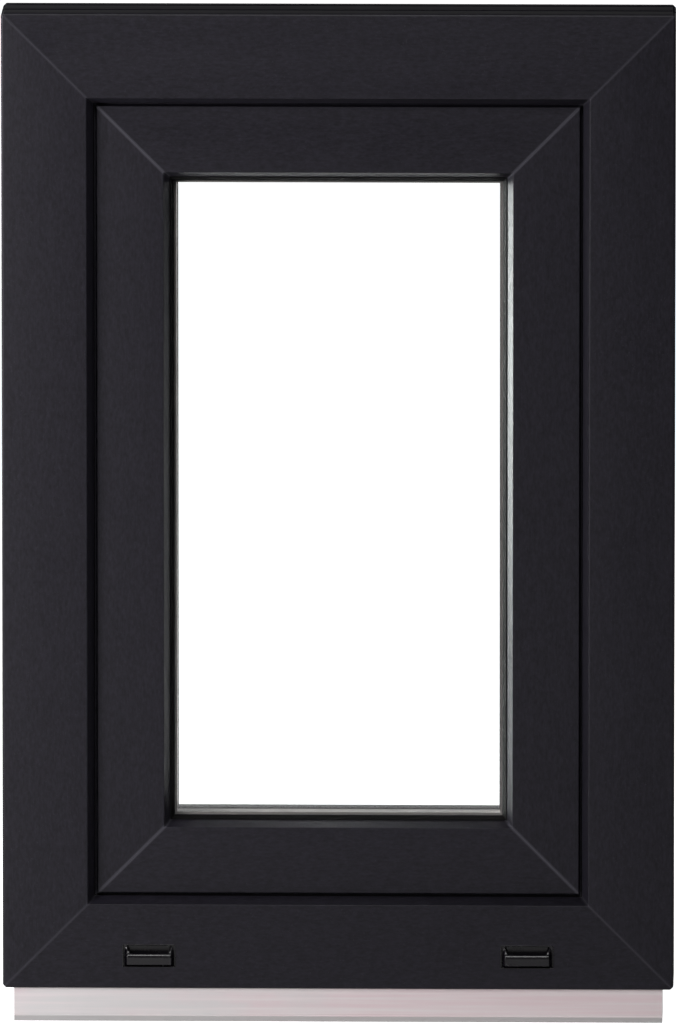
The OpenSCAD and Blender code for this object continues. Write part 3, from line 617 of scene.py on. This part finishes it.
# a drain cap's measures, in mm from its middle and from the face
CAP_HALF_W, CAP_HALF_H = 24.0, 10.5
CAP_CORNER, CAP_WALL, CAP_BACK = 1.3, 0.5, 0.03
LIP_HEIGHT = 0.2
MOAT_FLOOR, MOUTH_FLOOR = -2.3, -9.0
HOOD_HALF_W, HOOD_FOOT = 22.3, -9.3
HOOD_FRONT, HOOD_LEAN, LEAN_FROM = 3.5, 0.8, -8.3
CROWN_FROM, CROWN_TALL, CROWN_DROP = -2.5, 4.9, 2.8
MOUTH_HALF_W, MOUTH_FLARE, MOUTH_FLARE_TALL = 17.0, 3.0, 6.0
MOUTH_LOW, MOUTH_HIGH = 2.2, 9.0


def cap_height(across, up):
    """How far a drain cap stands out of the face, in mm, at mm from its middle.

    A thin lip on the face with a groove inside it; out of the groove a hood whose front leans out
    and rounds over along an ellipse at the top edge, with rounded flanks and foot; above it a
    mouth that widens upwards and goes deep behind the face, between two cheeks that run back to
    the groove.
    """
    wide = np.abs(across)
    lip_gap = np.minimum(CAP_HALF_W - wide, CAP_HALF_H - np.abs(up))
    lip = LIP_HEIGHT * smooth(lip_gap, 0, 0.3) - (LIP_HEIGHT - MOAT_FLOOR) * smooth(lip_gap, 0.7, 1.1)
    over = np.clip((up - CROWN_FROM) / CROWN_TALL, 0, 0.999)
    lean = HOOD_LEAN * np.clip((up - LEAN_FROM) / -LEAN_FROM, 0, 1)
    front = HOOD_FRONT + lean - CROWN_DROP * (1 - np.sqrt(1 - over ** 2))
    flank = smooth(HOOD_HALF_W - wide, 0, 3.0)
    foot = smooth(up - HOOD_FOOT, 0, 2.0)
    cheek = 1 - 0.9 * smooth(up, 2.0, 8.2)
    hood = MOAT_FLOOR + (front - MOAT_FLOOR) * np.minimum(flank, foot) * cheek
    mouth_side = MOUTH_HALF_W + MOUTH_FLARE * np.clip((up - 2) / MOUTH_FLARE_TALL, 0, 1)
    mouth = (smooth(mouth_side - wide, 0, 0.5) * smooth(up, MOUTH_LOW, MOUTH_LOW + 0.4)
             * smooth(MOUTH_HIGH - up, 0, 0.4))
    return np.maximum(lip, hood) * (1 - mouth) + MOUTH_FLOOR * mouth


def build_caps():
    """Drain caps: a fine grid of cap_height over the lip's outline, with a back that follows it."""
    up = np.linspace(-CAP_HALF_H, CAP_HALF_H, 110)
    beyond = np.clip(np.abs(up) - (CAP_HALF_H - CAP_CORNER), 0, CAP_CORNER)
    half = CAP_HALF_W - CAP_CORNER + np.sqrt(CAP_CORNER ** 2 - beyond ** 2)
    across = np.linspace(-1, 1, 170)[None] * half[:, None]
    rows = np.repeat(up[:, None], across.shape[1], 1)
    out = cap_height(across, rows)
    front = np.stack([across, -out, rows], -1)
    back = np.stack([across, np.maximum(CAP_BACK, CAP_WALL - out), rows], -1)[:, ::-1]
    grid = np.concatenate([front, back], 1) * MM
    for node in ("drain_cap_left", "drain_cap_right"):
        low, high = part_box(node)
        middle = np.array([(low.x + high.x) / 2, FACE_Y, (low.z + high.z) / 2])
        cap = loft("moulded_" + node, grid + middle, sharp_deg=60)
        finish_piece(cap, "frame", "cap_plastic", SLOT_LOOKS["cap_plastic"], node)


build_caps()

# ---------------------------------------------------------------- handle

SPINDLE_X = (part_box("spindle")[0].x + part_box("spindle")[1].x) / 2
SPINDLE_Z = (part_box("spindle")[0].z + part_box("spindle")[1].z) / 2


def superellipse(half_a, half_b, power, steps=64):
    """Closed loop |x/a|^p + |y/b|^p = 1, spaced evenly in angle."""
    t = np.linspace(0, 2 * math.pi, steps, endpoint=False)
    c, s = np.cos(t), np.sin(t)
    return np.stack([half_a * np.sign(c) * np.abs(c) ** (2 / power),
                     half_b * np.sign(s) * np.abs(s) ** (2 / power)], 1)


NECK_RADIUS, NECK_SHAPE, NECK_BEND = 9.7, 2.0, 11.0
GRIP_HALF_W, GRIP_HALF_D, GRIP_SHAPE = 9.9, 5.9, 2.7
GRIP_FRONT, GRIP_END = 6.0, 9.0
GRIP_SLIM_W, GRIP_SLIM_D = 0.9, 0.35


def build_lever():
    """Handle: a round neck that bends a quarter turn into a flat grip.

    The middle line runs out of the rosette, round an arc and up the grip; the section changes
    from a circle to a wide superellipse, slims a little along the grip and closes in a round end.
    """
    low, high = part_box("handle_lever")
    grip_y = high.y - GRIP_FRONT * MM
    bend, end = NECK_BEND * MM, GRIP_END * MM
    neck = grip_y - bend - low.y
    top = high.z - SPINDLE_Z
    upright = math.pi / 2
    # each station: y, z, turn, half width, half depth, power, size
    stations = [(low.y + neck * t, 0.0, 0.0, NECK_RADIUS, NECK_RADIUS, NECK_SHAPE, 1.0)
                for t in np.linspace(0, 1, 6)]
    for t in np.linspace(0, 1, 22)[1:]:
        turn = t * upright
        stations.append((
            grip_y - bend + bend * math.sin(turn), bend - bend * math.cos(turn), turn,
            NECK_RADIUS + (GRIP_HALF_W - NECK_RADIUS) * t,
            NECK_RADIUS + (GRIP_HALF_D - NECK_RADIUS) * smooth(t, 0, 1),
            NECK_SHAPE + (GRIP_SHAPE - NECK_SHAPE) * t, 1.0))
    for t in np.linspace(0, 1, 40)[1:]:
        z = bend + (top - end - bend) * t
        slim = math.sin(math.pi * t)
        stations.append((grip_y, z, upright, GRIP_HALF_W - GRIP_SLIM_W * slim,
                         GRIP_HALF_D - GRIP_SLIM_D * slim, GRIP_SHAPE, 1.0))
    for t in np.linspace(0, 1, 14)[1:]:
        sine = min(t, 0.9985)
        stations.append((grip_y, top - end + end * sine, upright, GRIP_HALF_W, GRIP_HALF_D, GRIP_SHAPE,
                         math.sqrt(1 - sine * sine)))
    rings = []
    for y, z, turn, half_w, half_d, power, size in stations:
        loop = superellipse(half_w * size, half_d * size, power) * MM
        rings.append(np.stack([SPINDLE_X + loop[:, 0],
                               y - loop[:, 1] * math.sin(turn),
                               SPINDLE_Z + z + loop[:, 1] * math.cos(turn)], 1))
    lever = loft("handle_grip", np.array(rings))
    finish_piece(lever, "handle", "handle_metal", SLOT_LOOKS["handle_metal"], "handle_lever")


def plate_loop(half_x, half_z, corner, inset=0.0, steps=9):
    """Rounded rectangle, moved inwards by inset."""
    x, z, r = half_x - inset, half_z - inset, corner - inset
    return rounded([(-x, -z, r), (x, -z, r), (x, z, r), (-x, z, r)], steps)


def dished_plate(name, centre, half_x, half_z, corner, base_y, top_y, edge):
    """Plate with a rounded front edge: its outline moved in along a quarter circle towards the top."""
    rings = [(base_y, 0.0)]
    for a in np.linspace(0, math.pi / 2, 8):
        rings.append((top_y - edge + edge * math.sin(a), edge * (1 - math.cos(a))))
    grid = []
    for y, inset in rings:
        across, up = plate_loop(half_x, half_z, corner, inset).T * MM
        grid.append(np.stack([centre[0] + across, np.full(len(across), y * MM), centre[1] + up], 1))
    return loft(name, np.array(grid))


ROSETTE_HALF_W, ROSETTE_HALF_H, ROSETTE_CORNER, ROSETTE_EDGE = 14.5, 32, 7, 2.2
ROSETTE_SET_BACK = 1.2
NECK_BORE, SCREW_BORE = 10.1, 5.0
SCREW_FLOOR, SCREW_HEAD_RADIUS = 5.5, 4.6


def build_rosette():
    """Rosette: a dished plate with a bore for the lever's neck and two counterbored screw holes."""
    low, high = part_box("handle_rosette")
    top = high.y / MM - ROSETTE_SET_BACK
    plate = dished_plate("handle_backplate", (SPINDLE_X, SPINDLE_Z), ROSETTE_HALF_W, ROSETTE_HALF_H,
                         ROSETTE_CORNER, low.y / MM, top, ROSETTE_EDGE)
    screw_low, screw_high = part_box("rosette_screws")
    gap = (screw_high.z - screw_low.z) / 2 - SCREW_HEAD_RADIUS * MM
    behind, past = low.y - OVERSHOOT * MM, high.y + OVERSHOOT * MM
    cutters = [rod_between("bore", (SPINDLE_X, behind, SPINDLE_Z), (SPINDLE_X, past, SPINDLE_Z),
                           NECK_BORE * MM, 48)]
    for z in (SPINDLE_Z - gap, SPINDLE_Z + gap):
        cutters.append(rod_between("bore", (SPINDLE_X, low.y + SCREW_FLOOR * MM, z), (SPINDLE_X, past, z),
                                   SCREW_BORE * MM, 40))
    cut_away(plate, cutters)
    finish_piece(plate, "sash", "handle_metal", SLOT_LOOKS["handle_metal"], "handle_rosette")


build_lever()
build_rosette()

# ---------------------------------------------------------------- hinge covers


COVER_WALL, COVER_CORNER, COVER_EDGE = 1.6, 3.2, 2.8


def build_cover(node):
    """Hinge bracket cover: a cap with rounded edges, hollowed out from the bracket's side.

    The cover below is open at its top and the one above at its foot.
    """
    low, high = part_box(node)
    centre = ((low.x + high.x) / 2, (low.z + high.z) / 2)
    half_x, half_z = (high.x - low.x) / 2 / MM, (high.z - low.z) / 2 / MM
    shell = dished_plate("moulded_" + node, centre, half_x, half_z, COVER_CORNER,
                         low.y / MM, high.y / MM, COVER_EDGE)
    wall = COVER_WALL * MM
    inner_low = [low.x + wall, low.y - wall, low.z + wall]
    inner_high = [high.x - wall, high.y - wall, high.z - wall]
    if centre[1] < MID_Z:
        inner_high[2] = high.z + wall
    else:
        inner_low[2] = low.z - wall
    cut_away(shell, [box_between("hollow", inner_low, inner_high)])
    finish_piece(shell, "frame", "cover_plastic", SLOT_LOOKS["cover_plastic"], node)


for cover in ("pivot_rest_cover", "stay_bearing_cover"):
    build_cover(cover)

# ---------------------------------------------------------------- stage, light and camera


# the world's strength as seen and as a lamp, and the floor's added glow as seen
SKY_SEEN, SKY_LAMP = 1.6, 0.10
FLOOR_LIFT = 1.02
FLOOR_HALF = 60.0


def build_stage():
    """Pale floor far past every view, in a white world; both are brighter to look at than as lamps."""
    half = FLOOR_HALF
    floor = new_object("floor", [(-half, -half, 0), (half, -half, 0), (half, half, 0), (-half, half, 0)],
                       [(0, 1, 2, 3)])
    made, tree, shader = new_material("pale_floor")
    mottle = noise(tree, place(tree), 0.6)
    path = add(tree, "ShaderNodeLightPath")
    seen = maths(tree, "MAXIMUM", path.outputs["Is Camera Ray"], path.outputs["Is Transmission Ray"])
    feed(tree, shader, Base_Color=blend_colour(tree, mottle, (0.84, 0.84, 0.84), (0.88, 0.88, 0.88)),
         Roughness=0.85, Specular_IOR_Level=0.1, Emission_Color=(1, 1, 1, 1),
         Emission_Strength=maths(tree, "MULTIPLY", seen, FLOOR_LIFT))
    paint(floor, made)
    world = bpy.data.worlds.new("studio")
    world.use_nodes = True
    tree = world.node_tree
    path = add(tree, "ShaderNodeLightPath")
    lamp_ray = maths(tree, "MAXIMUM", path.outputs["Is Diffuse Ray"], path.outputs["Is Glossy Ray"])
    strength = ramp(tree, lamp_ray, 0.0, 1.0, SKY_SEEN, SKY_LAMP)
    feed(tree, tree.nodes["Background"], Color=(1.0, 1.0, 1.0, 1), Strength=strength)
    bpy.context.scene.world = world
    bpy.context.scene.view_settings.view_transform = "Standard"


def area_light(name, place_at, aim, size, power, colour=(1, 1, 1)):
    """Square softbox aimed at a point."""
    data = bpy.data.lights.new(name, "AREA")
    data.shape, data.size, data.energy, data.color = "SQUARE", size, power, colour
    lamp = bpy.data.objects.new(name, data)
    bpy.context.scene.collection.objects.link(lamp)
    lamp.location = place_at
    lamp.rotation_euler = (Vector(aim) - Vector(place_at)).to_track_quat("-Z", "Y").to_euler()


build_stage()
CENTRE = (0, 0, MID_Z)
area_light("key", (-1.6, -1.3, 0.85), (-0.2, 0, 0.42), 0.7, 31, (1.0, 0.975, 1.0))
area_light("overhead", (-0.1, -1.5, 2.2), (0, 0, 0.3), 0.7, 16)
area_light("fill", (2.4, -2.6, 1.1), CENTRE, 2.0, 2, (0.96, 0.97, 1.0))
area_light("room_side", (-2.4, 1.7, 0.5), CENTRE, 0.9, 90)

# view from outdoors, a little to the right and from above, through a long lens; degrees and metres
VIEW_AZIMUTH, VIEW_ELEVATION = 1.2, 9.0
VIEW_DISTANCE = 20.0
VIEW_TALL = 0.9128
VIEW_AIM = (0.0, FACE_Y, 0.4620)


def build_camera():
    """Camera on the line of sight, VIEW_DISTANCE from the aim, with VIEW_TALL metres over its sensor."""
    data = bpy.data.cameras.new("view")
    data.sensor_width = 36.0
    data.lens = data.sensor_width * VIEW_DISTANCE / VIEW_TALL
    data.clip_start, data.clip_end = 0.5, 100.0
    cam = bpy.data.objects.new("view", data)
    bpy.context.scene.collection.objects.link(cam)
    a, e = math.radians(VIEW_AZIMUTH), math.radians(VIEW_ELEVATION)
    back = Vector((math.sin(a) * math.cos(e), -math.cos(a) * math.cos(e), math.sin(e)))
    cam.location = Vector(VIEW_AIM) + back * VIEW_DISTANCE
    cam.rotation_euler = (-back).to_track_quat("-Z", "Y").to_euler()
    bpy.context.scene.camera = cam


build_camera()
